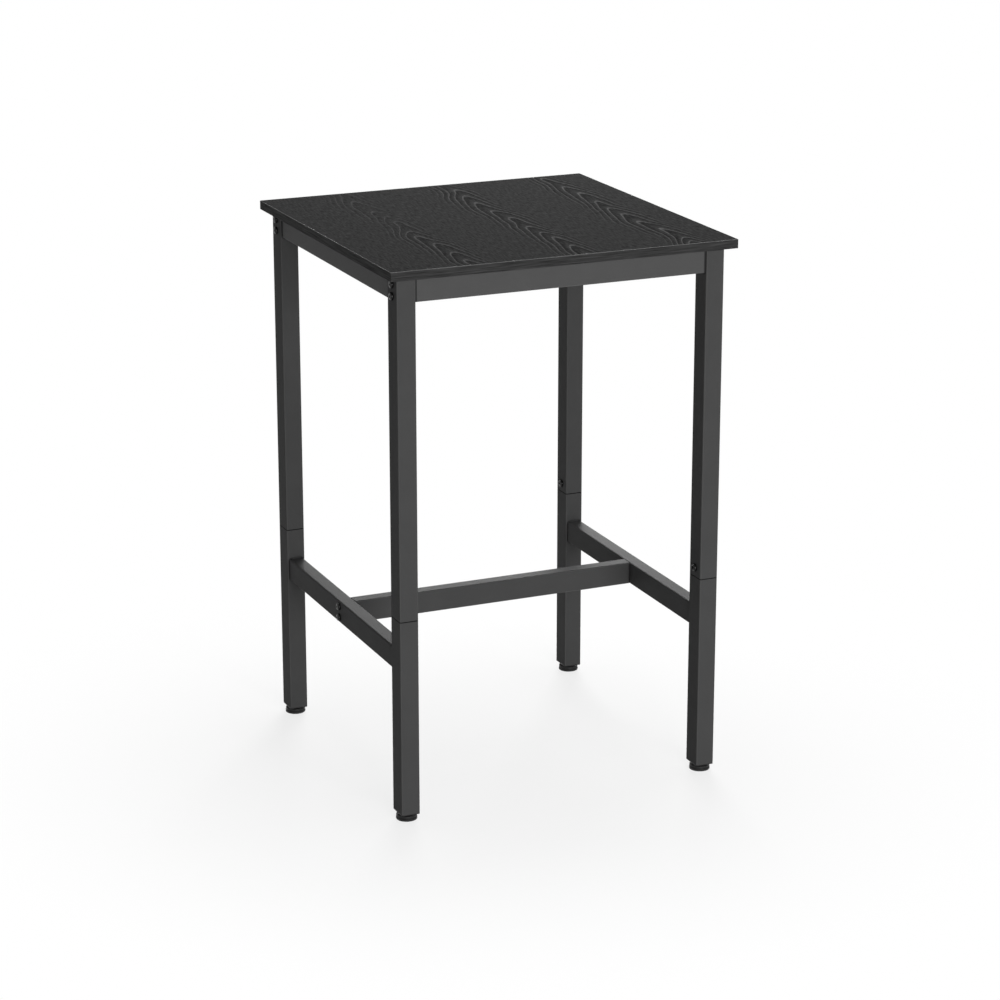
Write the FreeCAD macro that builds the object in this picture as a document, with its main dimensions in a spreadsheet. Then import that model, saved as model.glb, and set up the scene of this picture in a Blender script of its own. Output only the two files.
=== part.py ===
import FreeCAD, Part
import math
import os
import Sketcher

# Square pub table: a melamine-faced top on a bolted frame of rectangular steel tube.
# Frame: +Z up, origin on the floor under the middle of the top, lengths in millimetres.
# Front is -Y, left is -X. Each leg is two tubes joined by a sleeve and stands on a screw-in foot.

SIZES = {
    # Table top
    "top_width": 600,
    "top_depth": 600,
    "top_thickness": 15,
    "table_height": 920,
    "top_overhang": 16,
    "band_thickness": 1,
    "band_edge_radius": 0.7,
    # Leg tube
    "leg_width": 32,
    "leg_depth": 40,
    "leg_wall": 1.2,
    "leg_corner": 3,
    "tube_end_radius": 0.5,
    # Apron, rail and stretcher tube
    "rail_width": 25,
    "rail_height": 38,
    "rail_wall": 1.2,
    "rail_corner": 2.5,
    "apron_setback": 3.5,
    # Heights above the floor
    "foot_height": 12.5,
    "split_height": 345,
    "rail_top_height": 292,
    # Plugs in the leg ends
    "plug_clearance": 0.1,
    "top_plug_flange": 2.5,
    "top_plug_insert": 5,
    "foot_plug_flange": 1.5,
    "foot_plug_insert": 20,
    # Sleeve that joins the lower leg to the upper leg
    "sleeve_clearance": 0.15,
    "sleeve_wall": 1.5,
    "sleeve_in_lower_leg": 40,
    "sleeve_in_upper_leg": 45,
    "splice_screw_rise": 15.5,
    "splice_nut_diameter": 11,
    "splice_nut_thickness": 5,
    # Socket-head bolts that hold the frame together
    "bolt_diameter": 6,
    "bolt_hole_clearance": 0.3,
    "bolt_head_diameter": 12.5,
    "bolt_head_height": 4.4,
    "bolt_head_dome": 3,
    "bolt_spacing": 19,
    "bolt_past_nut": 3,
    "bolt_end_bevel": 0.8,
    "socket_size": 4,
    "socket_depth": 2.2,
    "thread_clearance": 0.05,
    "plate_thickness": 4,
    "plate_clearance": 0.1,
    # Screws that hold the top down
    "screw_diameter": 4,
    "screw_hole_clearance": 0.3,
    "screw_head_diameter": 8,
    "screw_head_height": 2.4,
    "screw_bite": 11,
    "screw_tip_room": 1,
    "screw_point": 3,
    "recess_span": 4.4,
    "recess_width": 1.1,
    "recess_depth": 1.4,
    "screw_from_middle": 150,
    "screw_access_diameter": 11,
    "spacer_diameter": 14,
    # Screw-in feet
    "pad_diameter": 35,
    "pad_top_diameter": 34,
    "pad_thickness": 9,
    "pad_edge_radius": 1.2,
    "pad_groove_height": 4.2,
    "pad_groove_width": 0.9,
    "pad_groove_depth": 0.9,
    "pad_floor": 2,
    "stud_diameter": 8,
    "stud_clearance": 0.08,
    "stud_head_diameter": 15,
    "stud_head_height": 4.5,
    "stud_past_nut": 12,
    "stud_end_bevel": 1,
    "nut_size": 13,
    "nut_thickness": 6.5,
    "nut_clearance": 0.1,
}

LAYOUT = {
    # Leg axes and ends
    "leg_x": "Sizes.top_width / 2 - Sizes.top_overhang - Sizes.leg_width / 2",
    "leg_y": "Sizes.top_depth / 2 - Sizes.top_overhang - Sizes.leg_depth / 2",
    "leg_top": "top_underside - Sizes.top_plug_flange",
    "leg_bottom": "Sizes.foot_height + Sizes.foot_plug_flange",
    "leg_inner_width": "Sizes.leg_width - 2 * Sizes.leg_wall",
    "leg_inner_depth": "Sizes.leg_depth - 2 * Sizes.leg_wall",
    "leg_inner_corner": "Sizes.leg_corner - Sizes.leg_wall",
    "top_underside": "Sizes.table_height - Sizes.top_thickness",
    # Aprons, rails and stretcher. The front and back aprons lie just behind the legs' outer faces.
    "apron_y": "leg_y + Sizes.leg_depth / 2 - Sizes.apron_setback - Sizes.rail_width / 2",
    "apron_z": "leg_top - Sizes.rail_height / 2",
    "rail_z": "Sizes.rail_top_height - Sizes.rail_height / 2",
    "front_apron_length": "2 * leg_x - Sizes.leg_width",
    "side_rail_length": "2 * leg_y - Sizes.leg_depth",
    "stretcher_length": "2 * leg_x - Sizes.rail_width",
    # Holes that fasteners pass through, and threads that they turn in
    "bolt_hole": "Sizes.bolt_diameter + 2 * Sizes.bolt_hole_clearance",
    "bolt_thread": "Sizes.bolt_diameter + 2 * Sizes.thread_clearance",
    "screw_hole": "Sizes.screw_diameter + 2 * Sizes.screw_hole_clearance",
    "screw_pilot": "Sizes.screw_diameter + 2 * Sizes.thread_clearance",
    "stud_hole": "Sizes.stud_diameter + 2 * Sizes.stud_clearance",
    # Sleeve and splice screw
    "sleeve_width": "leg_inner_width - 2 * Sizes.sleeve_clearance",
    "sleeve_depth": "leg_inner_depth - 2 * Sizes.sleeve_clearance",
    "sleeve_corner": "leg_inner_corner - Sizes.sleeve_clearance",
    "sleeve_length": "Sizes.sleeve_in_lower_leg + Sizes.sleeve_in_upper_leg",
    "splice_z": "Sizes.split_height + Sizes.splice_screw_rise",
    # Foot: the nut is flush with the top of its plug, and the stud reaches past it
    "nut_bottom": "leg_bottom + Sizes.foot_plug_insert - Sizes.nut_thickness",
    "stud_top": "nut_bottom + Sizes.nut_thickness + Sizes.stud_past_nut",
}

CORNERS = {
    "front_left": (-1, -1),
    "front_right": (1, -1),
    "back_left": (-1, 1),
    "back_right": (1, 1),
}
SIDES = {"left": -1, "right": 1}
ENDS = {"front": -1, "back": 1}

doc = FreeCAD.newDocument("PubTable")


def fill_sheet(name, cells, mark=""):
    """A spreadsheet with one named cell a row. The mark "=" makes the cells formulas."""
    sheet = doc.addObject("Spreadsheet::Sheet", name)
    for row, (alias, text) in enumerate(cells.items(), start=1):
        sheet.set(f"A{row}", alias)
        sheet.set(f"B{row}", f"{mark}{text}")
        sheet.setAlias(f"B{row}", alias)
    doc.recompute()
    return sheet


fill_sheet("Sizes", SIZES)
layout = fill_sheet("Layout", LAYOUT, mark="=")


def value(expression):
    """What an expression of the two sheets comes to, as a plain number."""
    return float(layout.evalExpression(expression))


def place(item, x="0", y="0", z="0", rotation=None):
    """Puts an object at a point given by three expressions."""
    if rotation:
        item.Placement = FreeCAD.Placement(FreeCAD.Vector(0, 0, 0), rotation)
    for axis, expression in zip("xyz", (x, y, z)):
        item.setExpression(f"Placement.Base.{axis}", expression)


def new_body(label):
    """An empty body whose label names the sub-part's file."""
    body = doc.addObject("PartDesign::Body", label)
    body.Label = label
    return body


def new_sketch(body, name, plane):
    """A sketch on one of the body's own origin planes: XY, XZ or YZ."""
    sketch = body.newObject("Sketcher::SketchObject", name)
    support = next(f for f in body.Origin.OriginFeatures if f.Role == f"{plane}_Plane")
    sketch.AttachmentSupport = [(support, "")]
    sketch.MapMode = "FlatFace"
    return sketch


def bind(sketch, constraint, expression):
    """Adds a dimension to a sketch and ties it to an expression."""
    number = sketch.addConstraint(constraint)
    sketch.setExpression(f"Constraints[{number}]", expression)


def pin(sketch, geometry, point, x, y):
    """Holds one point of a sketch at two expressions. A coordinate of "0" lies on the axis."""
    for kind, axis, expression in (("DistanceX", -2, x), ("DistanceY", -1, y)):
        if expression == "0":
            sketch.addConstraint(Sketcher.Constraint("PointOnObject", geometry, point, axis))
        else:
            distance = Sketcher.Constraint(kind, -1, 1, geometry, point, value(expression))
            bind(sketch, distance, expression)


def draw_rounded_rectangle(sketch, width, height, corner):
    """A rectangle with round corners, centred on the sketch's origin."""
    half_x, half_y, radius = value(width) / 2, value(height) / 2, value(corner)
    in_x, in_y = half_x - radius, half_y - radius
    first = sketch.GeometryCount
    sides = (
        ((-in_x, -half_y), (in_x, -half_y)),
        ((half_x, -in_y), (half_x, in_y)),
        ((in_x, half_y), (-in_x, half_y)),
        ((-half_x, in_y), (-half_x, -in_y)),
    )
    for start, end in sides:
        line = Part.LineSegment(FreeCAD.Vector(*start, 0), FreeCAD.Vector(*end, 0))
        sketch.addGeometry(line)
    for turn, (x, y) in enumerate(((in_x, -in_y), (in_x, in_y), (-in_x, in_y), (-in_x, -in_y))):
        circle = Part.Circle(FreeCAD.Vector(x, y, 0), FreeCAD.Vector(0, 0, 1), radius)
        from_angle, to_angle = math.radians(90 * turn - 90), math.radians(90 * turn)
        sketch.addGeometry(Part.ArcOfCircle(circle, from_angle, to_angle))
    for n in range(4):
        line, arc, next_line = first + n, first + 4 + n, first + (n + 1) % 4
        level = "Vertical" if n % 2 else "Horizontal"
        sketch.addConstraint(Sketcher.Constraint(level, line))
        sketch.addConstraint(Sketcher.Constraint("Tangent", line, 2, arc, 1))
        sketch.addConstraint(Sketcher.Constraint("Tangent", arc, 2, next_line, 1))
    for arc in range(first + 5, first + 8):
        sketch.addConstraint(Sketcher.Constraint("Equal", first + 4, arc))
    sketch.addConstraint(Sketcher.Constraint("Symmetric", first + 4, 3, first + 6, 3, -1, 1))
    across = Sketcher.Constraint("DistanceX", first + 3, 1, first + 1, 1, 2 * half_x)
    upward = Sketcher.Constraint("DistanceY", first, 1, first + 2, 1, 2 * half_y)
    bind(sketch, across, width)
    bind(sketch, upward, height)
    bind(sketch, Sketcher.Constraint("Radius", first + 4, radius), corner)


def draw_polygon(sketch, points):
    """A closed outline of straight lines through points given as pairs of expressions."""
    spots = [FreeCAD.Vector(value(x), value(y), 0) for x, y in points]
    for start, end in zip(spots, spots[1:] + spots[:1]):
        sketch.addGeometry(Part.LineSegment(start, end))
    for n, (x, y) in enumerate(points):
        before = (n - 1) % len(points)
        sketch.addConstraint(Sketcher.Constraint("Coincident", before, 2, n, 1))
        pin(sketch, n, 1, x, y)


def draw_rectangle(sketch, half_x, half_y):
    """A rectangle with sharp corners, centred on the sketch's origin."""
    signs = (("-", "-"), ("", "-"), ("", ""), ("-", ""))
    draw_polygon(sketch, [(f"{a}({half_x})", f"{b}({half_y})") for a, b in signs])


def draw_hexagon(sketch, size):
    """A hexagon by its size across flats, with two corners on the sketch's X axis."""
    corner = f"({size}) / sqrt(3)"
    points = (
        (corner, "0"),
        (f"{corner} / 2", f"({size}) / 2"),
        (f"-{corner} / 2", f"({size}) / 2"),
        (f"-{corner}", "0"),
        (f"-{corner} / 2", f"-({size}) / 2"),
        (f"{corner} / 2", f"-({size}) / 2"),
    )
    draw_polygon(sketch, points)


def draw_cross(sketch, reach, half_width):
    """A cross of two equal arms, centred on the sketch's origin."""
    quarter = ((reach, half_width), (half_width, half_width), (half_width, reach))
    points = list(quarter)
    points += [(f"-{x}", y) for x, y in reversed(quarter)]
    points += [(f"-{x}", f"-{y}") for x, y in quarter]
    points += [(x, f"-{y}") for x, y in reversed(quarter)]
    draw_polygon(sketch, points)


def draw_circles(sketch, diameter, centres):
    """Circles of one diameter at points given as pairs of expressions."""
    for x, y in centres:
        centre = FreeCAD.Vector(value(x), value(y), 0)
        circle = Part.Circle(centre, FreeCAD.Vector(0, 0, 1), value(diameter) / 2)
        number = sketch.addGeometry(circle)
        bind(sketch, Sketcher.Constraint("Diameter", number, value(diameter)), diameter)
        pin(sketch, number, 3, x, y)


def pad(body, sketch, length, both_ways=False, downward=False):
    """Extrudes a sketch by an expression."""
    feature = body.newObject("PartDesign::Pad", f"{sketch.Name}Pad")
    feature.Profile = sketch
    feature.setExpression("Length", length)
    feature.SideType = "Symmetric" if both_ways else "One side"
    feature.Reversed = downward
    doc.recompute()
    return feature


def cut(body, sketch, depth=None, both_ways=False, against=False):
    """Cuts a sketch out of a body, through all of it unless a depth is given."""
    before = body.Shape.Volume
    feature = body.newObject("PartDesign::Pocket", f"{sketch.Name}Cut")
    feature.Profile = sketch
    feature.Type = "Length" if depth else "ThroughAll"
    if depth:
        feature.setExpression("Length", depth)
    feature.SideType = "Symmetric" if both_ways else "One side"
    feature.Reversed = against
    doc.recompute()
    if not body.Shape.Volume < before:
        raise RuntimeError(f"{feature.Label} cuts nothing out of {body.Label}")
    return feature


def revolve(body, sketch):
    """Turns a sketch a full turn about its own vertical axis."""
    feature = body.newObject("PartDesign::Revolution", f"{sketch.Name}Turn")
    feature.Profile = sketch
    feature.ReferenceAxis = (sketch, ["V_Axis"])
    feature.Angle = 360
    doc.recompute()
    return feature


def round_edges(body, base, radius, chosen):
    """Rounds the edges of a feature for which chosen(edge) is true."""
    names = [f"Edge{n}" for n, edge in enumerate(base.Shape.Edges, start=1) if chosen(edge)]
    feature = body.newObject("PartDesign::Fillet", "Rounding")
    feature.Base = (base, names)
    feature.setExpression("Radius", radius)
    doc.recompute()
    return feature


def near(a, b):
    """Are two lengths the same to a micrometre?"""
    return abs(a - b) < 0.001


def copies(label, original, spots):
    """One sub-part made of copies of a body, each at (x, y, z, rotation)."""
    links = []
    for n, (x, y, z, rotation) in enumerate(spots, start=1):
        link = doc.addObject("App::Link", f"{label}_{n}")
        link.LinkedObject = original
        place(link, x, y, z, rotation)
        links.append(link)
    group = doc.addObject("Part::Compound", label)
    group.Label = label
    group.Links = links
    doc.recompute()
    return group


def tube(label, plane, width, height, wall, corner, length, both_ways=True):
    """A rectangular tube with round corners, drawn on a plane and extruded across it."""
    body = new_body(label)
    section = new_sketch(body, "Section", plane)
    draw_rounded_rectangle(section, width, height, corner)
    inside = (f"{width} - 2 * {wall}", f"{height} - 2 * {wall}", f"{corner} - {wall}")
    draw_rounded_rectangle(section, *inside)
    pad(body, section, length, both_ways)
    return body


def rail_tube(label, plane, length):
    """A tube of the section that the aprons, side rails and stretcher share."""
    section = ("Sizes.rail_width", "Sizes.rail_height", "Sizes.rail_wall", "Sizes.rail_corner")
    return tube(label, plane, *section, length)


def leg_tube(label, length):
    """A tube of the leg section, standing on its own XY plane."""
    section = ("Sizes.leg_width", "Sizes.leg_depth", "Sizes.leg_wall", "Sizes.leg_corner")
    return tube(label, "XY", *section, length, both_ways=False)


def ease_tube_end(body, height):
    """Rounds a leg tube's outer rim at one end, where it meets the other half of the leg."""
    tip = body.Tip

    def is_end(face):
        return near(face.BoundBox.ZMin, height) and near(face.BoundBox.ZMax, height)

    rim = next(face for face in tip.Shape.Faces if is_end(face)).OuterWire.Edges
    round_edges(body, tip, "Sizes.tube_end_radius", lambda e: any(e.isSame(r) for r in rim))


def bolt_pair(across, z):
    """Centres of two bolts, one above the other about a height."""
    return [(across, f"{z} {sign} Sizes.bolt_spacing / 2") for sign in "+-"]


# Table top: a board, and a thin band glued to each of its four edges


def make_board():
    """The board inside its bands, with blind holes in its underside for the screws."""
    body = new_body("tabletop_board")
    outline = new_sketch(body, "Outline", "XY")
    half_x = "Sizes.top_width / 2 - Sizes.band_thickness"
    half_y = "Sizes.top_depth / 2 - Sizes.band_thickness"
    draw_rectangle(outline, half_x, half_y)
    pad(body, outline, "Sizes.top_thickness")
    pilots = new_sketch(body, "Pilots", "XY")
    draw_circles(pilots, "Layout.screw_pilot", screw_spots())
    cut(body, pilots, "Sizes.screw_bite + Sizes.screw_tip_room", against=True)
    place(body, z="Layout.top_underside")


def screw_spots():
    """(x, y) of each screw that holds the top: two in each apron."""
    spots = []
    for a in (-1, 1):
        for b in (-1, 1):
            spots.append((f"{a} * Sizes.screw_from_middle", f"{b} * Layout.apron_y"))
            spots.append((f"{b} * Layout.leg_x", f"{a} * Sizes.screw_from_middle"))
    return spots


def make_band(label, plane, length):
    """One edge band with sharp edges, and the feature that made it."""
    body = new_body(label)
    section = new_sketch(body, "Section", plane)
    draw_rectangle(section, "Sizes.band_thickness / 2", "Sizes.top_thickness / 2")
    return body, pad(body, section, length, both_ways=True)


def make_bands():
    """Side bands run the whole depth and round the corners. Front and back bands fit between them."""
    middle = "Layout.top_underside + Sizes.top_thickness / 2"
    radius = "Sizes.band_edge_radius"
    for name, side in SIDES.items():
        body, base = make_band(f"edge_band_{name}", "XZ", "Sizes.top_depth")
        outer = side * value("Sizes.band_thickness") / 2

        def on_outer_face(edge):
            return near(edge.BoundBox.XMin, outer) and near(edge.BoundBox.XMax, outer)

        round_edges(body, base, radius, on_outer_face)
        place(body, x=f"{side} * (Sizes.top_width - Sizes.band_thickness) / 2", z=middle)
    for name, end in ENDS.items():
        body, base = make_band(f"edge_band_{name}", "YZ", "Sizes.top_width - 2 * Sizes.band_thickness")
        outer = end * value("Sizes.band_thickness") / 2

        def on_outer_long_edge(edge):
            lies_outside = near(edge.BoundBox.YMin, outer) and near(edge.BoundBox.YMax, outer)
            return lies_outside and near(edge.BoundBox.ZMin, edge.BoundBox.ZMax)

        round_edges(body, base, radius, on_outer_long_edge)
        place(body, y=f"{end} * (Sizes.top_depth - Sizes.band_thickness) / 2", z=middle)


# Legs: an upper and a lower tube at each corner, with a sleeve inside the joint


def make_upper_leg(corner, side, end):
    """The upper tube: bolt holes through both sides at the top, a splice hole low on the inner side."""
    body = leg_tube(f"upper_leg_{corner}", "Layout.leg_top - Sizes.split_height")
    ease_tube_end(body, 0)
    bolts = new_sketch(body, "BoltHoles", "YZ")
    draw_circles(bolts, "Layout.bolt_hole", bolt_pair("0", "Layout.apron_z - Sizes.split_height"))
    cut(body, bolts, both_ways=True)
    splice = new_sketch(body, "SpliceHole", "YZ")
    draw_circles(splice, "Layout.bolt_hole", [("0", "Sizes.splice_screw_rise")])
    cut(body, splice, against=side < 0)
    place(body, f"{side} * Layout.leg_x", f"{end} * Layout.leg_y", "Sizes.split_height")


def make_lower_leg(corner, side, end):
    """The lower tube, from the foot plug's flange to the split."""
    length = "Sizes.split_height - Layout.leg_bottom"
    body = leg_tube(f"lower_leg_{corner}", length)
    ease_tube_end(body, value(length))
    place(body, f"{side} * Layout.leg_x", f"{end} * Layout.leg_y", "Layout.leg_bottom")


def make_sleeve(corner, side, end):
    """The sleeve inside both tubes, with a hole for the splice screw."""
    section = ("Layout.sleeve_width", "Layout.sleeve_depth", "Sizes.sleeve_wall", "Layout.sleeve_corner")
    body = tube(f"leg_sleeve_{corner}", "XY", *section, "Layout.sleeve_length", both_ways=False)
    hole = new_sketch(body, "SpliceHole", "YZ")
    rise = "Sizes.sleeve_in_lower_leg + Sizes.splice_screw_rise"
    draw_circles(hole, "Layout.bolt_hole", [("0", rise)])
    cut(body, hole, against=side < 0)
    bottom = "Sizes.split_height - Sizes.sleeve_in_lower_leg"
    place(body, f"{side} * Layout.leg_x", f"{end} * Layout.leg_y", bottom)


def make_plug(label, flange, insert, insert_upward):
    """A plastic plug: a flange with the leg's outline, and an insert that fits inside the tube."""
    body = new_body(label)
    outline = new_sketch(body, "Flange", "XY")
    draw_rounded_rectangle(outline, "Sizes.leg_width", "Sizes.leg_depth", "Sizes.leg_corner")
    pad(body, outline, flange, downward=insert_upward)
    inner = new_sketch(body, "Insert", "XY")
    room = "Sizes.plug_clearance"
    across = f"Layout.leg_inner_width - 2 * {room}"
    along = f"Layout.leg_inner_depth - 2 * {room}"
    draw_rounded_rectangle(inner, across, along, f"Layout.leg_inner_corner - {room}")
    pad(body, inner, insert, downward=not insert_upward)
    return body


def make_top_plug(corner, side, end):
    """The plug that closes the leg's top and carries the board."""
    body = make_plug(f"top_plug_{corner}", "Sizes.top_plug_flange", "Sizes.top_plug_insert", False)
    place(body, f"{side} * Layout.leg_x", f"{end} * Layout.leg_y", "Layout.leg_top")


# Rails: aprons under the top, side rails between the lower legs, and one stretcher


def drill_for_screws(body, plane):
    """Screw holes in an apron's upper wall, and larger access holes in its lower wall."""
    spots = [(f"{a} * Sizes.screw_from_middle", "0") for a in (-1, 1)]
    if plane == "XZ":
        spots = [(y, x) for x, y in spots]
    upper = new_sketch(body, "ScrewHoles", "XY")
    draw_circles(upper, "Layout.screw_hole", spots)
    cut(body, upper, against=True)
    lower = new_sketch(body, "AccessHoles", "XY")
    draw_circles(lower, "Sizes.screw_access_diameter", spots)
    cut(body, lower)


def make_aprons():
    """Side aprons are welded between the legs, and the front and back ones are bolted."""
    for name, side in SIDES.items():
        body = rail_tube(f"side_apron_{name}", "XZ", "Layout.side_rail_length")
        drill_for_screws(body, "XZ")
        place(body, x=f"{side} * Layout.leg_x", z="Layout.apron_z")
    for name, end in ENDS.items():
        body = rail_tube(f"{name}_apron", "YZ", "Layout.front_apron_length")
        drill_for_screws(body, "YZ")
        place(body, y=f"{end} * Layout.apron_y", z="Layout.apron_z")


def make_lower_rails():
    """Side rails welded between the lower legs, and the stretcher bolted between them."""
    for name, side in SIDES.items():
        body = rail_tube(f"side_rail_{name}", "XZ", "Layout.side_rail_length")
        bolts = new_sketch(body, "BoltHoles", "YZ")
        draw_circles(bolts, "Layout.bolt_hole", bolt_pair("0", "0"))
        cut(body, bolts, both_ways=True)
        place(body, x=f"{side} * Layout.leg_x", z="Layout.rail_z")
    stretcher = rail_tube("centre_stretcher", "YZ", "Layout.stretcher_length")
    place(stretcher, z="Layout.rail_z")


def make_nut_plate(label, across):
    """A plate that fits inside the end of a tube, tapped for two bolts that lie across from its middle."""
    plate = new_body(label)
    outline = new_sketch(plate, "Outline", "YZ")
    less = "2 * (Sizes.rail_wall + Sizes.plate_clearance)"
    corner = "Sizes.rail_corner - Sizes.rail_wall - Sizes.plate_clearance"
    draw_rounded_rectangle(outline, f"Sizes.rail_width - {less}", f"Sizes.rail_height - {less}", corner)
    draw_circles(outline, "Layout.bolt_thread", bolt_pair(across, "0"))
    pad(plate, outline, "Sizes.plate_thickness", both_ways=True)
    return plate


TURNED_ROUND = FreeCAD.Rotation(FreeCAD.Vector(0, 0, 1), 180)


def make_nut_plates():
    """Tapped plates welded into the ends of the bolted aprons and of the stretcher."""
    apron_plate = make_nut_plate("apron_plate_pattern", "Layout.leg_y - Layout.apron_y")
    stretcher_plate = make_nut_plate("stretcher_plate_pattern", "0")
    in_apron = "(Layout.front_apron_length - Sizes.plate_thickness) / 2"
    in_stretcher = "(Layout.stretcher_length - Sizes.plate_thickness) / 2"
    apron = []
    for side, end in CORNERS.values():
        turn = TURNED_ROUND if end < 0 else None
        apron.append((f"{side} * {in_apron}", f"{end} * Layout.apron_y", "Layout.apron_z", turn))
    stretcher = [(f"{a} * {in_stretcher}", "0", "Layout.rail_z", None) for a in SIDES.values()]
    copies("apron_nut_plates", apron_plate, apron)
    copies("stretcher_nut_plates", stretcher_plate, stretcher)


# Fasteners


def make_bolt(label, length):
    """A domed bolt with a hexagon socket. Its head's seat is at the origin and its shank points up."""
    body = new_body(label)
    profile = new_sketch(body, "Profile", "XZ")
    shank = "Sizes.bolt_diameter / 2"
    head = "Sizes.bolt_head_diameter / 2"
    outline = (
        ("0", "-Sizes.bolt_head_height"),
        (head, "-Sizes.bolt_head_height"),
        (head, "0"),
        (shank, "0"),
        (shank, f"{length} - Sizes.bolt_end_bevel"),
        (f"{shank} - Sizes.bolt_end_bevel", length),
        ("0", length),
    )
    draw_polygon(profile, outline)
    turned = revolve(body, profile)
    crown = -value("Sizes.bolt_head_height")

    def around_crown(edge):
        return near(edge.BoundBox.ZMin, crown) and near(edge.BoundBox.ZMax, crown)

    round_edges(body, turned, "Sizes.bolt_head_dome", around_crown)
    socket = new_sketch(body, "Socket", "XY")
    socket.setExpression("AttachmentOffset.Base.z", "-Sizes.bolt_head_height")
    draw_hexagon(socket, "Sizes.socket_size")
    cut(body, socket, "Sizes.socket_depth", against=True)
    return body


LAID_TO_RIGHT = FreeCAD.Rotation(FreeCAD.Vector(0, 1, 0), 90)
LAID_TO_LEFT = FreeCAD.Rotation(FreeCAD.Vector(0, 1, 0), -90)


def laid_inward(side):
    """Lays a bolt of one side of the table on its side, with its shank towards the middle."""
    return LAID_TO_RIGHT if side < 0 else LAID_TO_LEFT


def make_bolts():
    """Bolts through legs into aprons, through rails into the stretcher, and screws at the splices."""
    grip = "Sizes.plate_thickness + Sizes.bolt_past_nut"
    leg_bolt = make_bolt("leg_bolt_pattern", f"Sizes.leg_width + {grip}")
    outside = "(Layout.leg_x + Sizes.leg_width / 2)"
    spots = []
    for side, end in CORNERS.values():
        for _, z in bolt_pair("0", "Layout.apron_z"):
            spots.append((f"{side} * {outside}", f"{end} * Layout.leg_y", z, laid_inward(side)))
    copies("apron_bolts", leg_bolt, spots)

    rail_bolt = make_bolt("rail_bolt_pattern", f"Sizes.rail_width + {grip}")
    outside = "(Layout.leg_x + Sizes.rail_width / 2)"
    spots = []
    for side in SIDES.values():
        for y, z in bolt_pair("0", "Layout.rail_z"):
            spots.append((f"{side} * {outside}", y, z, laid_inward(side)))
    copies("stretcher_bolts", rail_bolt, spots)

    to_nut = "Sizes.leg_wall + Sizes.sleeve_clearance + Sizes.sleeve_wall"
    splice_length = f"{to_nut} + Sizes.splice_nut_thickness + Sizes.bolt_past_nut"
    splice_screw = make_bolt("splice_screw_pattern", splice_length)
    splice_nut = new_body("splice_nut_pattern")
    ring = new_sketch(splice_nut, "Ring", "YZ")
    draw_circles(ring, "Sizes.splice_nut_diameter", [("0", "0")])
    draw_circles(ring, "Layout.bolt_thread", [("0", "0")])
    pad(splice_nut, ring, "Sizes.splice_nut_thickness", both_ways=True)
    inside = "(Layout.leg_x - Sizes.leg_width / 2)"
    nut_x = f"({inside} + {to_nut} + Sizes.splice_nut_thickness / 2)"
    screws = []
    nuts = []
    for side, end in CORNERS.values():
        y = f"{end} * Layout.leg_y"
        screws.append((f"{side} * {inside}", y, "Layout.splice_z", laid_inward(-side)))
        nuts.append((f"{side} * {nut_x}", y, "Layout.splice_z", None))
    copies("splice_screws", splice_screw, screws)
    copies("splice_nuts", splice_nut, nuts)


def make_top_fixings():
    """Screws from inside the aprons into the board, and the spacers that keep the aprons off it."""
    screw = new_body("screw_pattern")
    profile = new_sketch(screw, "Profile", "XZ")
    head = "Sizes.screw_head_diameter / 2"
    shank = "Sizes.screw_diameter / 2"
    reach = "Sizes.rail_wall + Sizes.top_plug_flange + Sizes.screw_bite"
    outline = (
        ("0", "-Sizes.screw_head_height"),
        (head, "-Sizes.screw_head_height"),
        (head, "0"),
        (shank, "0"),
        (shank, f"{reach} - Sizes.screw_point"),
        ("0", reach),
    )
    draw_polygon(profile, outline)
    revolve(screw, profile)
    recess = new_sketch(screw, "Recess", "XY")
    recess.setExpression("AttachmentOffset.Base.z", "-Sizes.screw_head_height")
    draw_cross(recess, "Sizes.recess_span / 2", "Sizes.recess_width / 2")
    cut(screw, recess, "Sizes.recess_depth", against=True)
    spacer = new_body("spacer_pattern")
    ring = new_sketch(spacer, "Ring", "XY")
    draw_circles(ring, "Sizes.spacer_diameter", [("0", "0")])
    draw_circles(ring, "Layout.screw_hole", [("0", "0")])
    pad(spacer, ring, "Sizes.top_plug_flange")
    seat = "Layout.leg_top - Sizes.rail_wall"
    copies("tabletop_screws", screw, [(x, y, seat, None) for x, y in screw_spots()])
    copies("tabletop_spacers", spacer, [(x, y, "Layout.leg_top", None) for x, y in screw_spots()])


# Feet: a plug with a captive nut in each leg, and a pad on a threaded stud


def make_foot_plug(corner, side, end):
    """The plug in the leg's bottom, bored for the stud and pocketed for the nut."""
    body = make_plug(f"foot_plug_{corner}", "Sizes.foot_plug_flange", "Sizes.foot_plug_insert", True)
    bore = new_sketch(body, "StudBore", "XY")
    draw_circles(bore, "Layout.stud_hole + 2 * Sizes.stud_clearance", [("0", "0")])
    cut(body, bore, both_ways=True)
    pocket = new_sketch(body, "NutPocket", "XY")
    pocket.setExpression("AttachmentOffset.Base.z", "Sizes.foot_plug_insert")
    draw_hexagon(pocket, "Sizes.nut_size + 2 * Sizes.nut_clearance")
    cut(body, pocket, "Sizes.nut_thickness")
    place(body, f"{side} * Layout.leg_x", f"{end} * Layout.leg_y", "Layout.leg_bottom")


def make_foot_nut(corner, side, end):
    """The captive nut that the stud turns in."""
    body = new_body(f"foot_nut_{corner}")
    outline = new_sketch(body, "Outline", "XY")
    draw_hexagon(outline, "Sizes.nut_size")
    draw_circles(outline, "Layout.stud_hole", [("0", "0")])
    pad(body, outline, "Sizes.nut_thickness")
    place(body, f"{side} * Layout.leg_x", f"{end} * Layout.leg_y", "Layout.nut_bottom")


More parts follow.
